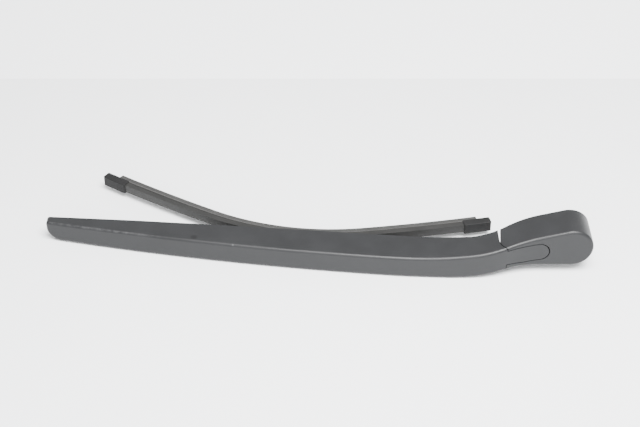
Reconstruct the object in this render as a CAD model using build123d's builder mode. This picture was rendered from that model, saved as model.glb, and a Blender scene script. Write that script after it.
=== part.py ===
from build123d import *
import os
from math import cos, degrees, radians, sin, tan

# Rear wiper of a car, lying on its side: a sprung arm, a flip-up head cover and a rocking blade.
# Millimetres. The origin is on the spindle axis in the rim plane of the head. X runs along the arm
# towards the round end of the head, -Y points away from the glass and Z runs across the arm.

# Head
head_radius = 16.2           # round end, about the spindle axis
head_depth = 27.5            # outer face to rim
neck_angle = 14.5            # flare of the upper side from arm to head, degrees

# Arm
arm_reach = 401.0            # spindle axis to tip
arm_top = -3.9               # upper side of the straight arm
arm_width = 18.3             # across the straight arm
tip_width = 17.0
tip_taper_start = -330.0     # the sides draw in from here to the tip
tip_outer_y = 11.5           # outer face at the tip
tip_depth = 6.5
tip_corner_lower = 11.0
tip_corner_upper = 3.0
hump_x = -74.0               # where the arm stands highest over the glass
hump_rise = 8.1              # above the outer face of the head
hump_radius = 685.0
hump_turn = 5.7              # degrees
bend_end_x = -22.0           # end of the S-bend down to the head
arm_depth = 23.4
rim_sag = 1.1                # bow of the arm's rim, away from the glass
waist_start_x = -80.0
waist_end_x = -44.0
waist_end_round = 120.0
waist_start_round = 150.0
taper_round = 400.0
flare_round = 338.0

# Moulded walls
wall = 2.2
web = 2.4                    # outer face thickness
edge_radius = 2.2            # outer corners
rib_thickness = 1.6
rib_height = 4.0
rib_steps = (-45.0, -15.0, 15.0, 45.0)  # from the start of the tip's taper

# Arm hinge
pin_x = -42.3
pin_y = -22.2
pin_radius = 2.0
pin_reach = 1.0              # into each side of the cover
running_gap = 0.06           # radial, turning fits
seat_gap = 0.03              # radial, fixed pins
seam_radius = 11.2           # cover's rounded end, about the hinge pin
seam_gap = 0.6
notch_gap = 3.2              # seam width at the rim
lip_x = 4.0                  # arm's outer face ends this far before the pin
seam_sweep = 68.0            # degrees of seam wrapped round the pin

# Tongue of the arm in the cover's slot
tongue_half = 7.0
tongue_end = 25.3            # beyond the pin
tongue_root = 14.0           # before the pin
tongue_slant = 7.8           # degrees, in plan
tongue_flat = 6.0            # its lower edge is square to the hinge up to here
slot_side_gap = 0.6
slot_end_gap = 0.8
knuckle_radius = 3.6
knuckle_half = 3.8
knuckle_rib_offset = 2.6
knuckle_rib = 2.0
knuckle_foot = 3.4           # ribs' width at the pin
knuckle_front = (10.0, 6.0)  # ribs' front end, from the pin: along the arm, outwards
knuckle_back = (-36.0, 9.0)

# Mounting head
cover_gap = 0.4              # cover to casting
cheek_radius = 4.6
cheek_half_gap = 4.25        # cheek to hinge centre
cheek_end = 8.0              # the cheeks widen into the bar from here
bar_end = 34.0
bar_flare = 1.2              # of the neck's flare
seat_y = -15.0               # nut seat
pocket_floor_y = -5.5
pocket_half_length = 14.0
pocket_end_gap = 2.2         # beyond the tongue
tongue_sweep = ((2.2, 5.0), (3.6, 3.1), (9.8, -5.8), (19.6, -17.3))  # under the lifted tongue
bore_radius = 4.0
boss_radius = 8.0
skirt_radius = 12.0
skirt = 2.0
recess_depth = 8.0
casting_foot = 6.3           # beyond the pin
heel = (-2.7, -12.5)         # casting's lower corner, from the pin
post_length = 11.4
nub_radius = 4.0

# Spring
post_offset = (6.0, -5.6)    # from the hinge pin: along the arm, outwards
post_radius = 2.2
anchor_x = -128.3
anchor_y = -19.5
anchor_radius = 2.2
spring_radius = 4.2
spring_bore = 2.6
wire_radius = 0.8
hook_play = 0.3
hook_shank = 14.0            # hook centre to first coil
coil_pitch = 1.8
hook_turn = 235.0            # degrees of hook round its pin

# Blade
pivot_x = -220.2
pivot_y = -6.2
pivot_radius = 2.0
pad_radius = 4.0
pad_half_gap = 4.1           # between the pads in the arm
blade_tilt = -10.9           # degrees about the pivot, as it lies
lip_depth = 22.4             # pivot to wiping edge
lip_centre_radius = 190.0    # bow of the wiping edge in the middle
lip_outer_radius = 1300.0    # bow towards the ends
half_turn = 18.0             # degrees, middle bow on each side
blade_half = 168.4           # pivot to end, along the blade
spine_top = 9.6
spine_height = 4.4
spine_half = 3.3
spine_wall = 0.8
rail_thickness = 0.9
rail_width = 1.5
strip_gap = 0.15
neck_half = 0.7
neck_length = 1.6
lip_half = 0.4
shoulder_half = 2.2
shoulder_edge = 0.8
connector_half = 17.0
connector_hub = 3.9
claw = 1.1
cap_length = 22.0
cap_half = 4.2
cap_cover = 1.0              # cap above the spine
cap_skirt = 1.6              # cap below the spine
cap_round = 1.2
cap_end_wall = 3.0
lip_setback = 9.0            # wiping edge stops before the cap's end

far = 80.0                   # reach of a cut that passes everything
arm_bottom = arm_top - arm_width
arm_mid = arm_top - arm_width / 2
channel_half = arm_width / 2 - wall
flare = radians(neck_angle)
neck_top = head_radius * cos(flare) + tan(flare) * (pin_x + head_radius * sin(flare))
neck_inner = neck_top - wall / cos(flare)
tongue_z = (neck_top - head_radius) / 2
hub = (pin_x, pin_y)


def from_pin(along, outwards):
    """Point in the side view, measured from the hinge pin."""
    return (pin_x + along, pin_y - outwards)


def side_view(drop):
    """Side view of arm and head as one form, moved towards the glass by drop."""
    hump = (hump_x, -head_depth - hump_rise)
    hump_rim = (hump_x, -head_depth - hump_rise + arm_depth)
    tip = (-arm_reach - wall, tip_outer_y)
    tip_rim = (-arm_reach - wall, tip_outer_y + tip_depth)
    bend_x = (hump_x + bend_end_x) / 2
    bend = (bend_x, -head_depth - hump_rise / 2)
    rim_bend = (bend_x, hump_rim[1] / 2)
    head_x = head_radius + wall
    with BuildSketch(Plane((0, drop, 0))) as view:
        with BuildLine():
            crown = JernArc(hump, (-1, 0), hump_radius, -hump_turn)
            TangentArc(crown @ 1, tip, tangent=crown % 1)
            Line(tip, tip_rim)
            SagittaArc(tip_rim, hump_rim, rim_sag)
            dip = TangentArc(hump_rim, rim_bend, tangent=(1, 0))
            TangentArc(rim_bend, (bend_end_x, 0), tangent=dip % 1)
            Polyline((bend_end_x, 0), (head_x, 0), (head_x, -head_depth), (bend_end_x, -head_depth))
            fall = TangentArc(hump, bend, tangent=(1, 0))
            TangentArc(bend, (bend_end_x, -head_depth), tangent=fall % 1)
        make_face()
    return view.sketch


def plan_view(inset):
    """Outline of arm and head seen square to the outer face, drawn in by inset."""
    flare_end = (-head_radius * sin(flare), head_radius * cos(flare))
    flare_start = (flare_end[0] - (flare_end[1] - arm_top) / tan(flare), arm_top)
    tip_low = arm_mid - tip_width / 2
    tip_high = arm_mid + tip_width / 2
    corners = [
        (0, -head_radius), (waist_end_x, -head_radius), (waist_start_x, arm_bottom),
        (tip_taper_start, arm_bottom), (-arm_reach, tip_low), (-arm_reach, tip_high),
        (tip_taper_start, arm_top), flare_start, flare_end]
    rounds = [waist_end_round, waist_start_round, taper_round, tip_corner_lower, tip_corner_upper,
              taper_round, flare_round]
    with BuildSketch(Plane.XZ) as view:
        with BuildLine():
            FilletPolyline(*corners, radius=rounds)
            ThreePointArc(flare_end, (head_radius, 0), (0, -head_radius))
        make_face()
        if inset:
            offset(amount=-inset)
    return view.sketch


def form(drop, inset):
    """Solid with the outline of both views."""
    with BuildPart() as solid:
        extrude(side_view(drop), amount=far, both=True)
        extrude(plan_view(inset), amount=far, both=True, mode=Mode.INTERSECT)
    return solid.part


def tongue_view(side_gap, end_gap):
    """Plan of the tongue, widened by the gaps, with a round end."""
    half = tongue_half + side_gap
    reach = tongue_end + end_gap - half
    slant = radians(tongue_slant)
    lower_edge = tongue_z + tongue_flat * tan(slant) - half / cos(slant)
    with BuildSketch(Plane.XZ) as view:
        with Locations(Location((pin_x, tongue_z), tongue_slant)):
            with Locations(((reach - tongue_root) / 2, 0)):
                Rectangle(reach + tongue_root, 2 * half)
            with Locations((reach, 0)):
                Circle(half)
        with Locations((pin_x + tongue_flat - far / 2, lower_edge - far / 2)):
            Rectangle(far, far, mode=Mode.SUBTRACT)
    return view.sketch


with BuildPart() as outer_form:
    add(form(0, 0))
    skins = faces().filter_by(lambda face: face.normal_at().Y < -0.7)
    sides = faces().filter_by(lambda face: abs(face.normal_at().Y) < 0.3)
    fillet(skins.edges() & sides.edges(), edge_radius)
cavity = form(web, wall)
inner_form = form(web / 2, wall / 2)

# Hinge knuckle: an eye round the pin and two ribs that carry it from the arm's outer face.
with BuildPart() as knuckle:
    with BuildSketch(Plane.XY.offset(tongue_z)):
        with Locations(hub):
            Circle(knuckle_radius)
    extrude(amount=knuckle_half, both=True)
    for side in (-1, 1):
        with BuildSketch(Plane.XY.offset(tongue_z + side * knuckle_rib_offset)):
            with BuildLine():
                Polyline(
                    from_pin(knuckle_back[0], far), from_pin(knuckle_front[0], far), from_pin(*knuckle_front),
                    from_pin(knuckle_foot, 0), from_pin(-knuckle_foot, 0),
                    from_pin(-knuckle_front[0], knuckle_front[1]), from_pin(*knuckle_back), close=True)
            make_face()
        extrude(amount=knuckle_rib / 2, both=True)
    add(inner_form, mode=Mode.INTERSECT)

# Low ribs that stiffen the outer face where the arm is shallow.
with BuildPart() as tip_ribs:
    with Locations(*[(tip_taper_start + step, 0, arm_mid) for step in rib_steps]):
        Box(rib_thickness, 2 * far, arm_width)
    add(inner_form, mode=Mode.INTERSECT)
    extrude(side_view(web + rib_height), amount=far, both=True, mode=Mode.SUBTRACT)

# Arm: one moulded channel, open to the glass, with a tongue that reaches over the hinge.
with BuildPart() as arm_shell:
    with BuildSketch():
        with BuildLine():
            seam = CenterArc(hub, seam_radius + seam_gap, 180, seam_sweep)
            Polyline(seam @ 1, (pin_x - lip_x, -far), (-arm_reach - far, -far), (-arm_reach - far, far),
                     (pin_x - seam_radius - 2 * seam_gap, far), seam @ 0)
        make_face()
    extrude(amount=far, both=True)
    extrude(tongue_view(0, 0), amount=far)
    add(outer_form.part, mode=Mode.INTERSECT)
    add(cavity, mode=Mode.SUBTRACT)
    add(knuckle.part)
    add(tip_ribs.part)
    for x, y, radius in ((anchor_x, anchor_y, anchor_radius), (pivot_x, pivot_y, pivot_radius)):
        with Locations((x, y, arm_mid)):
            Cylinder(pad_radius, 2 * channel_half + wall)
            Cylinder(pad_radius + 1, 2 * pad_half_gap, mode=Mode.SUBTRACT)
            Cylinder(radius + seat_gap, 2 * channel_half, mode=Mode.SUBTRACT)
    with Locations((pin_x, pin_y, tongue_z)):
        Cylinder(pin_radius + running_gap, 2 * knuckle_half, mode=Mode.SUBTRACT)
arm_shell.part.label = "arm_shell"

# Head cover: a moulded cap that turns on the ends of the hinge pin, slotted for the arm's tongue.
rim_back = seam_radius + 2 * seam_gap - notch_gap
rim_notch_x = pin_x - rim_back
cheek_top = neck_inner - cover_gap - rim_back * tan(flare)
cheek_low = wall + cover_gap - head_radius
pin_low = wall - pin_reach - head_radius
pin_length = neck_inner + pin_reach - pin_low
pin_mid = pin_low + pin_length / 2
with BuildPart() as head_cover:
    with BuildSketch():
        with BuildLine():
            end = CenterArc(hub, seam_radius, 180, 90)
            Polyline(end @ 1, (pin_x, -far), (far, -far), (far, far), (rim_notch_x, far), (rim_notch_x, 0),
                     end @ 0)
        make_face()
    extrude(amount=far, both=True)
    add(outer_form.part, mode=Mode.INTERSECT)
    add(cavity, mode=Mode.SUBTRACT)
    extrude(tongue_view(slot_side_gap, slot_end_gap), amount=far, mode=Mode.SUBTRACT)
    nub_start = cheek_top + strip_gap
    nub_length = neck_inner + wall / 2 - nub_start
    with Locations((pin_x, pin_y, nub_start + nub_length / 2)):
        Cylinder(nub_radius, nub_length)
    with Locations((pin_x, pin_y, pin_mid)):
        Cylinder(pin_radius + running_gap, pin_length + 2 * strip_gap, mode=Mode.SUBTRACT)
head_cover.part.label = "head_cover"

# Mounting head: a casting that clamps on the spindle, with two cheeks for the hinge pin.
# Its bar is slimmer than the neck, so the cover can turn round it.
post = from_pin(*post_offset)
with BuildPart() as tongue_room:
    with BuildSketch():
        pocket_end = tongue_end + pocket_end_gap
        with BuildLine():
            Polyline(
                from_pin(tongue_sweep[0][0], far), *[from_pin(*point) for point in tongue_sweep],
                from_pin(pocket_end, tongue_sweep[-1][1]), from_pin(pocket_end, far), close=True)
        make_face()
    extrude(amount=far, both=True)
    with BuildSketch(Plane.XZ):
        add(tongue_view(slot_side_gap, pocket_end_gap))
        with Locations((pin_x + pocket_end / 2, tongue_z + far / 2)):
            Rectangle(pocket_end, far)
    extrude(amount=far, mode=Mode.INTERSECT)
with BuildPart() as mounting_head:
    with BuildSketch():
        with Locations(hub):
            Circle(cheek_radius)
        with BuildLine():
            Polyline(
                from_pin(0, cheek_radius), (-skirt_radius, seat_y), (skirt_radius, seat_y),
                (skirt_radius, 0), (pin_x + casting_foot, 0), from_pin(*heel),
                from_pin(-cheek_radius, 0), close=True)
        make_face()
    extrude(amount=far, both=True)
    with BuildSketch(Plane.XZ):
        Circle(skirt_radius)
        with BuildLine():
            Polyline(
                (pin_x - far, cheek_low), (pin_x + bar_end, cheek_low),
                (pin_x + bar_end, cheek_top + (bar_end - cheek_end) * bar_flare * tan(flare)),
                (pin_x + cheek_end, cheek_top), (pin_x - far, cheek_top), close=True)
        make_face()
    extrude(amount=far, both=True, mode=Mode.INTERSECT)
    add(tongue_room.part, mode=Mode.SUBTRACT)
    with Locations((pin_x, pocket_floor_y - far / 2, tongue_z)):
        Box(2 * pocket_half_length, far, 2 * cheek_half_gap, mode=Mode.SUBTRACT)
    with BuildSketch(Plane.XZ):
        Circle(skirt_radius - skirt)
        Circle(boss_radius, mode=Mode.SUBTRACT)
    extrude(amount=recess_depth, mode=Mode.SUBTRACT)
    with BuildSketch(Plane.XZ):
        Circle(bore_radius)
    extrude(amount=far, mode=Mode.SUBTRACT)
    with Locations((pin_x, pin_y, tongue_z)):
        Cylinder(pin_radius + seat_gap, far, mode=Mode.SUBTRACT)
    with Locations((*post, tongue_z)):
        Cylinder(post_radius + seat_gap, post_length, mode=Mode.SUBTRACT)
mounting_head.part.label = "mounting_head"

# Hinge pin and spring post, fixed in the cheeks.
with BuildPart() as hinge_pin:
    with Locations((pin_x, pin_y, pin_mid)):
        Cylinder(pin_radius, pin_length)
    chamfer(edges().filter_by(GeomType.CIRCLE), pin_radius / 6)
hinge_pin.part.label = "hinge_pin"

with BuildPart() as spring_post:
    with Locations((*post, tongue_z)):
        Cylinder(post_radius, post_length)
    chamfer(edges().filter_by(GeomType.CIRCLE), post_radius / 6)
spring_post.part.label = "spring_post"

# Cross pins in the arm's pads: the spring's anchor and the blade's pivot.
with BuildPart() as spring_anchor:
    with Locations((anchor_x, anchor_y, arm_mid)):
        Cylinder(anchor_radius, 2 * channel_half - 2 * seat_gap)
spring_anchor.part.label = "spring_anchor"

with BuildPart() as blade_pivot_pin:
    with Locations((pivot_x, pivot_y, arm_mid)):
        Cylinder(pivot_radius, 2 * channel_half - 2 * seat_gap)
blade_pivot_pin.part.label = "blade_pivot_pin"

# Tension spring: close-wound turns, drawn as ridges, with a hook at each end.
post_point = Vector(*post, tongue_z)
spring_line = Vector(anchor_x, anchor_y, arm_mid) - post_point
spring_axis = spring_line.normalized()
spring_plane = Plane(post_point, spring_axis, Vector(0, 0, 1) - spring_axis * spring_axis.Z)
hook_radius = post_radius + hook_play + wire_radius
coil_end = spring_line.length - hook_shank
turns = round((coil_end - hook_shank) / coil_pitch)
pitch = (coil_end - hook_shank) / turns
root_radius = spring_radius - wire_radius / 2
with BuildPart() as tension_spring:
    with BuildSketch(spring_plane):
        with BuildLine():
            ridges = [(hook_shank, spring_bore), (hook_shank, root_radius)]
            for turn in range(turns):
                start = hook_shank + turn * pitch
                ridges += [(start + pitch / 2, spring_radius), (start + pitch, root_radius)]
            Polyline(*ridges, (coil_end, spring_bore), close=True)
        make_face()
    revolve(axis=Axis(post_point, spring_axis))
    for centre, coil in ((0, hook_shank), (spring_line.length, coil_end)):
        inwards = 1 if coil > centre else -1
        with BuildLine(spring_plane) as hook:
            Line((coil + inwards * 2 * wire_radius, -hook_radius), (centre, -hook_radius))
            CenterArc((centre, 0), hook_radius, -90, -inwards * hook_turn)
        with BuildSketch(Plane(hook.wire() @ 0, z_dir=hook.wire() % 0)):
            Circle(wire_radius)
        sweep(path=hook.wire())
tension_spring.part.label = "tension_spring"

# Blade: every strip follows the same bow, a round middle and flatter ends.
blade_plane = Plane((pivot_x, pivot_y, arm_mid), (cos(radians(blade_tilt)), sin(radians(blade_tilt)), 0))
centre_radius = lip_centre_radius + lip_depth
outer_radius = lip_outer_radius + lip_depth
bow = radians(half_turn)
middle = (0, centre_radius)
flank = ((centre_radius - outer_radius) * sin(bow), centre_radius + (outer_radius - centre_radius) * cos(bow))


def turn_at(length):
    """Angle of the bow, in degrees, at a distance from the pivot along the blade."""
    return half_turn + degrees((length - centre_radius * bow) / outer_radius)


def blade_path(half_length):
    """Line along the blade through its pivot."""
    end_turn = turn_at(half_length) - half_turn
    with BuildLine(blade_plane) as path:
        CenterArc((-flank[0], flank[1]), outer_radius, -90 - half_turn - end_turn, end_turn)
        CenterArc(middle, centre_radius, -90 - half_turn, 2 * half_turn)
        CenterArc(flank, outer_radius, -90 + half_turn, end_turn)
    return path.wire()


def across(path):
    """Plane square to the blade at its outer end: x away from the arm, y across."""
    along = path % 0
    return Plane(path @ 0, Vector(0, 0, 1).cross(along), along)


def arc_strip(centre, radius, near, deep, start, sweep_angle):
    """Strip between two depths from the pivot line, bent with the blade."""
    with BuildSketch(blade_plane) as strip:
        with BuildLine():
            upper = CenterArc(centre, radius - near, start, sweep_angle)
            lower = CenterArc(centre, radius - deep, start, sweep_angle)
            Line(upper @ 0, lower @ 0)
            Line(upper @ 1, lower @ 1)
        make_face()
    return strip.sketch


spine_end = blade_half - cap_end_wall
spine_foot = spine_top + spine_height
groove_half = spine_half - spine_wall
bar_top = spine_top + spine_wall + strip_gap
rail_top = bar_top + rail_thickness + strip_gap
rail_foot = rail_top + rail_thickness
bar_foot = spine_foot - spine_wall / 2 - strip_gap

# Spine: a moulded strip with an undercut groove that holds the rubber and its rails.
with BuildPart() as blade_spine:
    path = blade_path(spine_end)
    with BuildSketch(across(path)):
        with Locations(((spine_top + spine_foot) / 2, 0)):
            Rectangle(spine_height, 2 * spine_half)
        with Locations(((bar_top + bar_foot) / 2, 0)):
            Rectangle(bar_foot - bar_top + 2 * strip_gap, 2 * groove_half, mode=Mode.SUBTRACT)
        with Locations((spine_foot, 0)):
            Rectangle(spine_height, 2 * (neck_half + 2 * strip_gap), mode=Mode.SUBTRACT)
    sweep(path=path)
blade_spine.part.label = "blade_spine"

# Rails: two flat strips of spring steel in the rubber's side grooves.
rails = {}
for name, side in (("rail_upper", 1), ("rail_lower", -1)):
    with BuildPart() as rail:
        path = blade_path(spine_end - strip_gap)
        with BuildSketch(across(path)):
            with Locations(((rail_top + rail_foot) / 2, side * (neck_half + rail_width / 2))):
                Rectangle(rail_thickness, rail_width)
        sweep(path=path)
    rail.part.label = name
    rails[name] = rail.part

# Rubber: head in the groove, a narrow neck, a shoulder and the wiping lip.
with BuildPart() as wiper_rubber:
    path = blade_path(blade_half - lip_setback)
    bar_half = groove_half - strip_gap
    web_half = neck_half - strip_gap
    shoulder_top = spine_foot + neck_length
    shoulder_foot = shoulder_top + shoulder_edge
    half_section = [
        (bar_top, 0), (bar_top, bar_half), (rail_top - strip_gap, bar_half),
        (rail_top - strip_gap, web_half), (rail_foot + strip_gap, web_half),
        (rail_foot + strip_gap, bar_half), (bar_foot, bar_half), (bar_foot, neck_half),
        (shoulder_top, neck_half), (shoulder_top, shoulder_half),
        (shoulder_foot, shoulder_half), (shoulder_foot + shoulder_half, neck_half),
        (lip_depth, lip_half), (lip_depth, 0)]
    with BuildSketch(across(path)):
        with BuildLine():
            Polyline(*half_section, close=True)
        make_face()
        mirror(about=Plane.XZ)
    sweep(path=path)
wiper_rubber.part.label = "wiper_rubber"

# Connector: a clip over the spine with an eye on the pivot pin.
connector_turn = degrees(connector_half / centre_radius)
clip_half = spine_half + strip_gap + claw
with BuildPart() as blade_connector:
    block = arc_strip(middle, centre_radius, spine_top - 2 * strip_gap - claw, spine_foot - 2 * claw,
                      -90 - connector_turn, 2 * connector_turn)
    extrude(block, amount=clip_half, both=True)
    with BuildSketch(blade_plane):
        Circle(connector_hub)
        with Locations((0, spine_top / 2)):
            Rectangle(2 * connector_hub, spine_top - 2 * strip_gap)
    extrude(amount=pad_half_gap - 2 * strip_gap, both=True)
    seat = arc_strip(middle, centre_radius, spine_top - strip_gap, spine_foot,
                     -90 - 2 * connector_turn, 4 * connector_turn)
    extrude(seat, amount=spine_half + strip_gap, both=True, mode=Mode.SUBTRACT)
    with Locations(blade_plane):
        Cylinder(pivot_radius + running_gap, 2 * channel_half, mode=Mode.SUBTRACT)
blade_connector.part.label = "blade_connector"

# End caps: moulded sleeves that close the spine and keep the rubber in.
def cap_strip(side, near, deep, begin, finish):
    """Strip of a cap, on one side of the pivot, between two distances along the blade."""
    first = turn_at(begin)
    turn = turn_at(finish) - first
    return arc_strip((side * flank[0], flank[1]), outer_radius, near, deep, -90 + side * first, side * turn)


caps = {}
cap_start = blade_half - cap_length
for name, side in (("end_cap_outer", -1), ("end_cap_inner", 1)):
    with BuildPart() as cap:
        body = cap_strip(side, spine_top - cap_cover, spine_foot + cap_skirt, cap_start, blade_half)
        extrude(body, amount=cap_half, both=True)
        fillet(edges().filter_by(Axis.Z), cap_round)
        fillet(edges().group_by(Axis.Z)[-1], cap_round / 2)
        socket = cap_strip(side, spine_top - strip_gap, spine_foot + strip_gap, cap_start - cap_length,
                           spine_end + strip_gap)
        extrude(socket, amount=spine_half + strip_gap, both=True, mode=Mode.SUBTRACT)
        slot = cap_strip(side, spine_foot, lip_depth, cap_start - cap_length,
                         blade_half - lip_setback + strip_gap)
        extrude(slot, amount=shoulder_half + strip_gap, both=True, mode=Mode.SUBTRACT)
    cap.part.label = name
    caps[name] = cap.part

os.makedirs("parts", exist_ok=True)
pieces = [
    arm_shell.part, head_cover.part, mounting_head.part, hinge_pin.part, spring_post.part,
    spring_anchor.part, blade_pivot_pin.part, tension_spring.part, blade_spine.part,
    wiper_rubber.part, blade_connector.part, *rails.values(), *caps.values()]
for piece in pieces:
    export_step(piece, f"parts/{piece.label}.step")
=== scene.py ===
import math

import bmesh
import bpy
from mathutils import Matrix, Vector


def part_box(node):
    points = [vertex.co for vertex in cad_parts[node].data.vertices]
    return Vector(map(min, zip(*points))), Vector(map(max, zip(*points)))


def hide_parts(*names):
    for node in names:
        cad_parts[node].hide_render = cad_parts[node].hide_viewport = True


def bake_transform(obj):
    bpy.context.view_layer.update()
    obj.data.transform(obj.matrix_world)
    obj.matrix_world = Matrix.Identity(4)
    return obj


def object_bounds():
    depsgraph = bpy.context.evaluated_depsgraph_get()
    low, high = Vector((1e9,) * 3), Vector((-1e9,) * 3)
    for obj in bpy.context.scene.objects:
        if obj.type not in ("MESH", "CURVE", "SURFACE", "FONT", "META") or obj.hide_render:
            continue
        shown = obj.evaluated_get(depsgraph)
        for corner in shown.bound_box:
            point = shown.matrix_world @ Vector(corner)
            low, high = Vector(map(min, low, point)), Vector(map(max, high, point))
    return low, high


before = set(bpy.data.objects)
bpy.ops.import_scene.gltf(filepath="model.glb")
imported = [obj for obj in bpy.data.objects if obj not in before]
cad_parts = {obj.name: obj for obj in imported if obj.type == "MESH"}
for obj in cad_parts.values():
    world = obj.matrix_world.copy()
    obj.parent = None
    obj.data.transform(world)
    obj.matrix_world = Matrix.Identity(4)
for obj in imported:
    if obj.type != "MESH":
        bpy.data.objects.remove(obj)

cad_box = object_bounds()

# Mounting head: an aluminium casting under the cover that clamps on the car's wiper spindle.
# It is left as cast, with a grainy skin and a machined seat for the nut.
def start_material(name, colour, roughness):
    """A material with one Principled shader; colour and roughness are plain values."""
    material = bpy.data.materials.new(name)
    material.use_nodes = True
    material.diffuse_color = (*colour, 1.0)
    shader = material.node_tree.nodes["Principled BSDF"]
    shader.inputs["Base Color"].default_value = (*colour, 1.0)
    shader.inputs["Roughness"].default_value = roughness
    return material, material.node_tree, shader


def add_node(tree, kind, **values):
    """A node with some of its input sockets set by name."""
    node = tree.nodes.new(kind)
    for socket, value in values.items():
        node.inputs[socket].default_value = value
    return node


def ramp_between(tree, source, low, high, first, second):
    """A map-range node that carries source from low..high to first..second."""
    node = tree.nodes.new("ShaderNodeMapRange")
    node.inputs["From Min"].default_value = low
    node.inputs["From Max"].default_value = high
    node.inputs["To Min"].default_value = first
    node.inputs["To Max"].default_value = second
    tree.links.new(source, node.inputs["Value"])
    return node.outputs["Result"]


def mix_colours(tree, mask, first, second):
    """A colour mix driven by mask; first and second are colours or sockets."""
    node = tree.nodes.new("ShaderNodeMix")
    node.data_type = "RGBA"
    tree.links.new(mask, node.inputs[0])
    for socket, colour in ((node.inputs[6], first), (node.inputs[7], second)):
        if isinstance(colour, tuple):
            socket.default_value = (*colour, 1.0)
        else:
            tree.links.new(colour, socket)
    return node.outputs[2]


def grain_group():
    """Grain of a moulded or cast skin: a fine height and a slow drift of tone, in metres."""
    group = bpy.data.node_groups.new("skin_grain", "ShaderNodeTree")
    group.interface.new_socket("Grain Scale", in_out="INPUT", socket_type="NodeSocketFloat")
    group.interface.new_socket("Drift Scale", in_out="INPUT", socket_type="NodeSocketFloat")
    group.interface.new_socket("Height", in_out="OUTPUT", socket_type="NodeSocketFloat")
    group.interface.new_socket("Drift", in_out="OUTPUT", socket_type="NodeSocketFloat")
    entry = group.nodes.new("NodeGroupInput")
    result = group.nodes.new("NodeGroupOutput")
    place = group.nodes.new("ShaderNodeTexCoord")
    fine = add_node(group, "ShaderNodeTexNoise", Detail=3.0, Roughness=0.6)
    slow = add_node(group, "ShaderNodeTexNoise", Detail=4.0, Roughness=0.55)
    for texture, scale, output in ((fine, "Grain Scale", "Height"), (slow, "Drift Scale", "Drift")):
        group.links.new(place.outputs["Object"], texture.inputs["Vector"])
        group.links.new(entry.outputs[scale], texture.inputs["Scale"])
        group.links.new(texture.outputs["Fac"], result.inputs[output])
    return group


skin_grain = grain_group()
usual_noise = (0.3, 0.7)


def place_grain(tree, shader, grain_scale, drift_scale, depth):
    """The grain group in a material, with its height as bump; gives the drift socket."""
    grain = tree.nodes.new("ShaderNodeGroup")
    grain.node_tree = skin_grain
    grain.inputs["Grain Scale"].default_value = grain_scale
    grain.inputs["Drift Scale"].default_value = drift_scale
    bump = add_node(tree, "ShaderNodeBump", Strength=0.6, Distance=depth)
    tree.links.new(grain.outputs["Height"], bump.inputs["Height"])
    tree.links.new(bump.outputs["Normal"], shader.inputs["Normal"])
    return grain.outputs["Drift"]


def dress(node_name, material):
    """The material on a carried-over node."""
    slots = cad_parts[node_name].data.materials
    slots.clear()
    slots.append(material)


cast_skin, tree, shader = start_material("cast_aluminium", (0.30, 0.30, 0.31), 0.5)
shader.inputs["Metallic"].default_value = 1.0
drift = place_grain(tree, shader, grain_scale=1800.0, drift_scale=120.0, depth=0.00012)
tree.links.new(mix_colours(tree, drift, (0.22, 0.22, 0.23), (0.38, 0.38, 0.39)), shader.inputs["Base Color"])
tree.links.new(ramp_between(tree, drift, *usual_noise, 0.42, 0.62), shader.inputs["Roughness"])
dress("mounting_head", cast_skin)

# Hinge pin, spring post and the two cross pins in the arm: ground steel, pressed into their seats.
# Fine grinding marks run round them.
grinding_scale = (60.0, 60.0, 4000.0)
ground_steel, tree, shader = start_material("ground_steel", (0.5, 0.5, 0.5), 0.3)
shader.inputs["Metallic"].default_value = 1.0
place = tree.nodes.new("ShaderNodeTexCoord")
marks = tree.nodes.new("ShaderNodeMapping")
marks.inputs["Scale"].default_value = grinding_scale
grinding = add_node(tree, "ShaderNodeTexNoise", Scale=1.0, Detail=2.0)
tree.links.new(place.outputs["Object"], marks.inputs["Vector"])
tree.links.new(marks.outputs["Vector"], grinding.inputs["Vector"])
dulled = ramp_between(tree, grinding.outputs["Fac"], *usual_noise, 0.2, 0.42)
tree.links.new(dulled, shader.inputs["Roughness"])
tree.links.new(
    mix_colours(tree, grinding.outputs["Fac"], (0.42, 0.42, 0.43), (0.58, 0.58, 0.57)),
    shader.inputs["Base Color"])
for pin in ("hinge_pin", "spring_post", "spring_anchor", "blade_pivot_pin"):
    dress(pin, ground_steel)

# Head cover: a satin black moulding that snaps over the casting and flips up for the nut.
# Its skin has a fine spark-eroded grain and a faint dusty sheen.
satin_dark = (0.0100, 0.0103, 0.0110)
satin_light = (0.0165, 0.0168, 0.0178)
satin_gloss = 0.27
cover_skin, tree, shader = start_material("cover_plastic", satin_dark, 0.38)
shader.inputs["Specular IOR Level"].default_value = satin_gloss
drift = place_grain(tree, shader, grain_scale=2600.0, drift_scale=45.0, depth=0.00005)
tree.links.new(mix_colours(tree, drift, satin_dark, satin_light), shader.inputs["Base Color"])
tree.links.new(ramp_between(tree, drift, *usual_noise, 0.32, 0.44), shader.inputs["Roughness"])
dress("head_cover", cover_skin)

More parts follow.
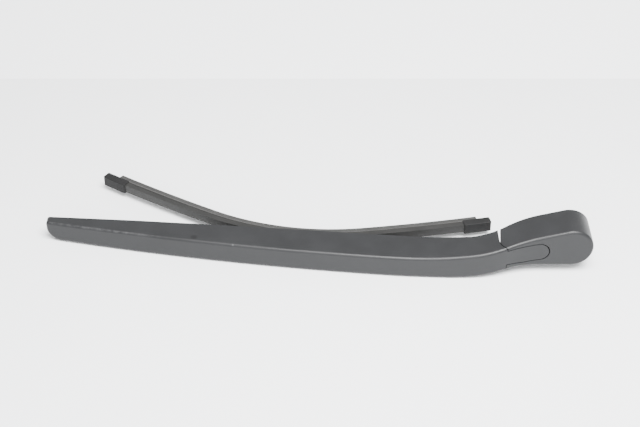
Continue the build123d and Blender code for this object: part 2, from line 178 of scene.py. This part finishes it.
# Arm: the same satin moulding as one long channel, open to the glass.
# Its outer corner near the tip is painted a lighter grey, partly scuff wear and partly a painted highlight
# on the crease; a nick and a smudge lie further along.
def spot_group():
    """Mask of a ragged spot: 1 at a place, in metres, and 0 beyond its reach."""
    group = bpy.data.node_groups.new("ragged_spot", "ShaderNodeTree")
    group.interface.new_socket("Place", in_out="INPUT", socket_type="NodeSocketVector")
    group.interface.new_socket("Reach", in_out="INPUT", socket_type="NodeSocketFloat")
    group.interface.new_socket("Mask", in_out="OUTPUT", socket_type="NodeSocketFloat")
    entry = group.nodes.new("NodeGroupInput")
    result = group.nodes.new("NodeGroupOutput")
    place = group.nodes.new("ShaderNodeTexCoord")
    apart = group.nodes.new("ShaderNodeVectorMath")
    apart.operation = "DISTANCE"
    ragged = add_node(group, "ShaderNodeTexNoise", Scale=900.0, Detail=3.0)
    edge = group.nodes.new("ShaderNodeMath")
    edge.operation = "MULTIPLY"
    fade = group.nodes.new("ShaderNodeMapRange")
    fade.interpolation_type = "SMOOTHSTEP"
    fade.inputs["To Min"].default_value = 1.0
    fade.inputs["To Max"].default_value = 0.0
    group.links.new(place.outputs["Object"], apart.inputs[0])
    group.links.new(entry.outputs["Place"], apart.inputs[1])
    group.links.new(place.outputs["Object"], ragged.inputs["Vector"])
    group.links.new(ragged.outputs["Fac"], edge.inputs[0])
    group.links.new(entry.outputs["Reach"], edge.inputs[1])
    group.links.new(apart.outputs["Value"], fade.inputs["Value"])
    group.links.new(edge.outputs["Value"], fade.inputs["From Min"])
    group.links.new(entry.outputs["Reach"], fade.inputs["From Max"])
    group.links.new(fade.outputs["Result"], result.inputs["Mask"])
    return group


ragged_spot = spot_group()


def place_spot(tree, place, reach):
    """The spot group in a material; gives its mask."""
    spot = tree.nodes.new("ShaderNodeGroup")
    spot.node_tree = ragged_spot
    spot.inputs["Place"].default_value = place
    spot.inputs["Reach"].default_value = reach
    return spot.outputs["Mask"]


def combine(tree, operation, first, second):
    """Two masks through one math node; a number is set on its socket."""
    node = tree.nodes.new("ShaderNodeMath")
    node.operation = operation
    for socket, value in zip(node.inputs, (first, second)):
        if isinstance(value, (int, float)):
            socket.default_value = value
        else:
            tree.links.new(value, socket)
    return node.outputs["Value"]


# Lighter grey on the tip's corner: partly scuff wear, partly a painted highlight where the crease faces the
# top light.
scuff_and_highlight_grey = (0.060, 0.060, 0.062)
smudge_dark = (0.002, 0.002, 0.002)
scuff_dulling = 0.25
corner_direction = (0.0, -0.707, 0.707)
scuff_and_highlight_fade = (-0.335, -0.300)
nick_place = (-0.2547, -0.0165, -0.0050)
nick_reach = 0.0012
smudge_place = (-0.2848, -0.0083, -0.0039)
smudge_reach = 0.0032
smudge_strength = 0.5
arm_skin, tree, shader = start_material("arm_plastic", satin_dark, 0.38)
shader.inputs["Specular IOR Level"].default_value = satin_gloss
drift = place_grain(tree, shader, grain_scale=2600.0, drift_scale=45.0, depth=0.00005)
skin = mix_colours(tree, drift, satin_dark, satin_light)

place = tree.nodes.new("ShaderNodeTexCoord")
facing = add_node(tree, "ShaderNodeVectorMath")
facing.operation = "DOT_PRODUCT"
facing.inputs[1].default_value = corner_direction
tree.links.new(place.outputs["Normal"], facing.inputs[0])
# Corner mask by facing direction: the crease that faces up and forward gets the scuffs and the painted
# highlight.
corner = ramp_between(tree, facing.outputs["Value"], 0.86, 0.98, 0.0, 1.0)
axes = tree.nodes.new("ShaderNodeSeparateXYZ")
tree.links.new(place.outputs["Object"], axes.inputs["Vector"])
near_tip = ramp_between(tree, axes.outputs["X"], *scuff_and_highlight_fade, 1.0, 0.0)
rubs = add_node(tree, "ShaderNodeTexNoise", Scale=260.0, Detail=5.0, Roughness=0.75)
tree.links.new(place.outputs["Object"], rubs.inputs["Vector"])
rub_and_highlight_patches = ramp_between(tree, rubs.outputs["Fac"], 0.40, 0.68, 0.0, 0.6)
scuffs_and_highlight = combine(tree, "MULTIPLY", combine(tree, "MULTIPLY", corner, near_tip), rub_and_highlight_patches)
nick = place_spot(tree, nick_place, nick_reach)
scuffs_and_highlight = combine(tree, "MAXIMUM", scuffs_and_highlight, nick)
smudge = combine(tree, "MULTIPLY", place_spot(tree, smudge_place, smudge_reach), smudge_strength)
skin = mix_colours(tree, smudge, skin, smudge_dark)
skin = mix_colours(tree, scuffs_and_highlight, skin, scuff_and_highlight_grey)
tree.links.new(skin, shader.inputs["Base Color"])
sheen = ramp_between(tree, drift, *usual_noise, 0.32, 0.44)
dulled = combine(tree, "MULTIPLY", scuffs_and_highlight, scuff_dulling)
tree.links.new(combine(tree, "ADD", sheen, dulled), shader.inputs["Roughness"])
dress("arm_shell", arm_skin)

# Tension spring: hard-drawn wire, close-wound, hooked on the post in the head and the arm's anchor.
# It pulls the arm to the glass and stretches as the arm is lifted; this coil is built once, between the post
# and the anchor as they stand.
wire_radius = 0.0008
coil_radius = 0.0035
hook_radius = 0.0033
hook_shank = 0.014
hook_turn = math.radians(235.0)
wire_sides = 8
steps_per_turn = 20
turn_pitch = 2.2 * wire_radius


def middle_of(node_name):
    """Centre of a node's box."""
    low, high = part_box(node_name)
    return (Vector(low) + Vector(high)) / 2


post = middle_of("spring_post")
anchor = middle_of("spring_anchor")
along = (anchor - post).normalized()
across = (Vector((0, 0, 1)) - along * along.z).normalized()
beside = across.cross(along)
coil_length = (anchor - post).length - 2 * hook_shank
coil_turns = round(coil_length / turn_pitch)


def wire_ring(mesh, centre, direction):
    """A ring of wire section, square to direction; gives its vertices and edges."""
    turn = direction.to_track_quat("Z", "Y").to_matrix().to_4x4()
    ring = bmesh.ops.create_circle(
        mesh, segments=wire_sides, radius=wire_radius, matrix=Matrix.Translation(centre) @ turn)
    vertices = ring["verts"]
    return vertices + list({edge for vertex in vertices for edge in vertex.link_edges})


spring_mesh = bmesh.new()
first_coil = post + along * hook_shank - beside * coil_radius
steps = coil_turns * steps_per_turn
bmesh.ops.spin(
    spring_mesh, geom=wire_ring(spring_mesh, first_coil, across), cent=post, axis=along,
    dvec=along * coil_length / steps, angle=2 * math.pi * coil_turns, steps=steps, use_duplicate=False)
for hook_centre, inwards in ((post, 1), (anchor, -1)):
    shank_start = hook_centre + along * inwards * (hook_shank + wire_radius) - beside * hook_radius
    ring = wire_ring(spring_mesh, shank_start, -along * inwards)
    ring_edges = [item for item in ring if isinstance(item, bmesh.types.BMEdge)]
    drawn = bmesh.ops.extrude_edge_only(spring_mesh, edges=ring_edges)["geom"]
    moved = [item for item in drawn if isinstance(item, bmesh.types.BMVert)]
    bmesh.ops.translate(spring_mesh, verts=moved, vec=-along * inwards * (hook_shank + wire_radius))
    end_loop = moved + [
        item for item in drawn if isinstance(item, bmesh.types.BMEdge)
        and all(vertex in moved for vertex in item.verts)]
    bmesh.ops.spin(
        spring_mesh, geom=end_loop, cent=hook_centre, axis=across, angle=-inwards * hook_turn,
        steps=steps_per_turn, use_duplicate=False)
bmesh.ops.holes_fill(spring_mesh, edges=spring_mesh.edges, sides=wire_sides)
bmesh.ops.recalc_face_normals(spring_mesh, faces=spring_mesh.faces)
for face in spring_mesh.faces:
    face.smooth = True
spring_data = bpy.data.meshes.new("coil_spring")
spring_mesh.to_mesh(spring_data)
spring_mesh.free()
spring = bpy.data.objects.new("coil_spring", spring_data)
bpy.context.scene.collection.objects.link(spring)
spring_wire, tree, shader = start_material("spring_wire", (0.3, 0.3, 0.3), 0.35)
shader.inputs["Metallic"].default_value = 1.0
drift = place_grain(tree, shader, grain_scale=3000.0, drift_scale=200.0, depth=0.00003)
tree.links.new(mix_colours(tree, drift, (0.22, 0.22, 0.22), (0.42, 0.41, 0.40)), shader.inputs["Base Color"])
tree.links.new(ramp_between(tree, drift, *usual_noise, 0.28, 0.46), shader.inputs["Roughness"])
spring_data.materials.append(spring_wire)
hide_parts("tension_spring")
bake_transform(spring)

# Blade spine and connector: weathered black mouldings, greyer than the arm.
# The spine holds the rubber and its rails; the connector clips over it and turns on the pivot pin.
weathered_dark = (0.0100, 0.0100, 0.0098)
weathered_light = (0.0180, 0.0178, 0.0172)
spine_skin, tree, shader = start_material("spine_plastic", weathered_dark, 0.5)
shader.inputs["Specular IOR Level"].default_value = 0.28
drift = place_grain(tree, shader, grain_scale=2200.0, drift_scale=60.0, depth=0.00005)
tree.links.new(mix_colours(tree, drift, weathered_dark, weathered_light), shader.inputs["Base Color"])
tree.links.new(ramp_between(tree, drift, *usual_noise, 0.42, 0.58), shader.inputs["Roughness"])
for moulding in ("blade_spine", "blade_connector"):
    dress(moulding, spine_skin)

# End caps: two matt black mouldings pushed over the ends of the spine.
# They keep the rubber and its rails from sliding out.
matt_dark = (0.0070, 0.0070, 0.0071)
matt_light = (0.0130, 0.0130, 0.0132)
cap_skin, tree, shader = start_material("cap_plastic", matt_dark, 0.55)
shader.inputs["Specular IOR Level"].default_value = 0.14
drift = place_grain(tree, shader, grain_scale=2200.0, drift_scale=90.0, depth=0.00005)
tree.links.new(mix_colours(tree, drift, matt_dark, matt_light), shader.inputs["Base Color"])
tree.links.new(ramp_between(tree, drift, *usual_noise, 0.48, 0.64), shader.inputs["Roughness"])
for cap in ("end_cap_outer", "end_cap_inner"):
    dress(cap, cap_skin)

# Rails: two flat strips of spring steel lying in the grooves of the rubber.
# They give the blade its bow and spread the arm's force along the lip.
for rail in ("rail_upper", "rail_lower"):
    dress(rail, ground_steel)

# Wiping rubber: one extruded strip with a shoulder and a thin lip, slid into the spine.
# Its skin is dull, with a slight grey bloom along its length.
rubber_dark = (0.018, 0.0177, 0.0173)
rubber_bloom = (0.045, 0.0442, 0.0428)
rubber_skin, tree, shader = start_material("wiping_rubber", rubber_dark, 0.6)
shader.inputs["Specular IOR Level"].default_value = 0.2
drift = place_grain(tree, shader, grain_scale=1500.0, drift_scale=90.0, depth=0.00004)
tree.links.new(mix_colours(tree, drift, rubber_dark, rubber_bloom), shader.inputs["Base Color"])
tree.links.new(ramp_between(tree, drift, *usual_noise, 0.5, 0.7), shader.inputs["Roughness"])
dress("wiper_rubber", rubber_skin)

# Stage: a glossy pale table with a pale board that slopes up behind it, which makes the faint line
# across the top of the photograph. One soft box hangs above and a weaker one stands in front.
floor_z = cad_box[0][2]
table_depth = 0.9
board_y = 0.245
table_width = 3.0
table_middle_x = -0.19
board_slope = (0, 0.22, 0.08)
edge_room = 0.01
stage_mesh = bmesh.new()
bmesh.ops.create_grid(stage_mesh, x_segments=1, y_segments=1, size=1.0)
stage_data = bpy.data.meshes.new("table")
bmesh.ops.scale(stage_mesh, vec=(table_width, table_depth, 1.0), verts=stage_mesh.verts)
bmesh.ops.translate(stage_mesh, vec=(table_middle_x, board_y - table_depth, floor_z), verts=stage_mesh.verts)
back_edge = [
    edge for edge in stage_mesh.edges
    if all(vertex.co.y > board_y - edge_room for vertex in edge.verts)]
raised = bmesh.ops.extrude_edge_only(stage_mesh, edges=back_edge)["geom"]
bmesh.ops.translate(
    stage_mesh, vec=board_slope, verts=[item for item in raised if isinstance(item, bmesh.types.BMVert)])
stage_mesh.to_mesh(stage_data)
stage_mesh.free()
table = bpy.data.objects.new("table", stage_data)
bpy.context.scene.collection.objects.link(table)
table_paint, tree, shader = start_material("table_paint", (0.86, 0.87, 0.88), 0.25)
drift = place_grain(tree, shader, grain_scale=300.0, drift_scale=5.0, depth=0.00001)
tree.links.new(mix_colours(tree, drift, (0.84, 0.85, 0.86), (0.88, 0.89, 0.90)), shader.inputs["Base Color"])
stage_data.materials.append(table_paint)

world = bpy.data.worlds.new("studio")
world.use_nodes = True
world.node_tree.nodes["Background"].inputs["Color"].default_value = (1.0, 1.0, 1.0, 1.0)
world.node_tree.nodes["Background"].inputs["Strength"].default_value = 1.0
bpy.context.scene.world = world


def soft_light(name, place, target, width, power):
    """A square soft box at place, turned to target."""
    data = bpy.data.lights.new(name, "AREA")
    data.size = width
    data.energy = power
    light = bpy.data.objects.new(name, data)
    light.location = place
    light.rotation_euler = (Vector(target) - Vector(place)).to_track_quat("-Z", "Y").to_euler()
    bpy.context.scene.collection.objects.link(light)


soft_light("top_light", place=(0.05, -0.45, 1.2), target=(-0.17, 0.0, -0.02), width=0.8, power=85.0)
soft_light("front_light", place=(-0.2, -1.4, 0.75), target=(-0.19, 0.0, -0.02), width=0.9, power=20.0)

# Camera: the photograph's view, square to the arm and looking down 38 degrees at the table.
# Its distance and lens put the tip, the head and both ends of the blade where the photograph has them.
view_target = Vector((-0.1888, 0.0443, floor_z))
view_distance = 1.085
view_height = math.radians(38.0)
camera_data = bpy.data.cameras.new("camera")
camera_data.sensor_width = 36.0
camera_data.lens = 76.3
camera = bpy.data.objects.new("camera", camera_data)
camera.location = view_target + view_distance * Vector((0, -math.cos(view_height), math.sin(view_height)))
camera.rotation_euler = (view_target - camera.location).to_track_quat("-Z", "Y").to_euler()
bpy.context.scene.collection.objects.link(camera)
bpy.context.scene.camera = camera
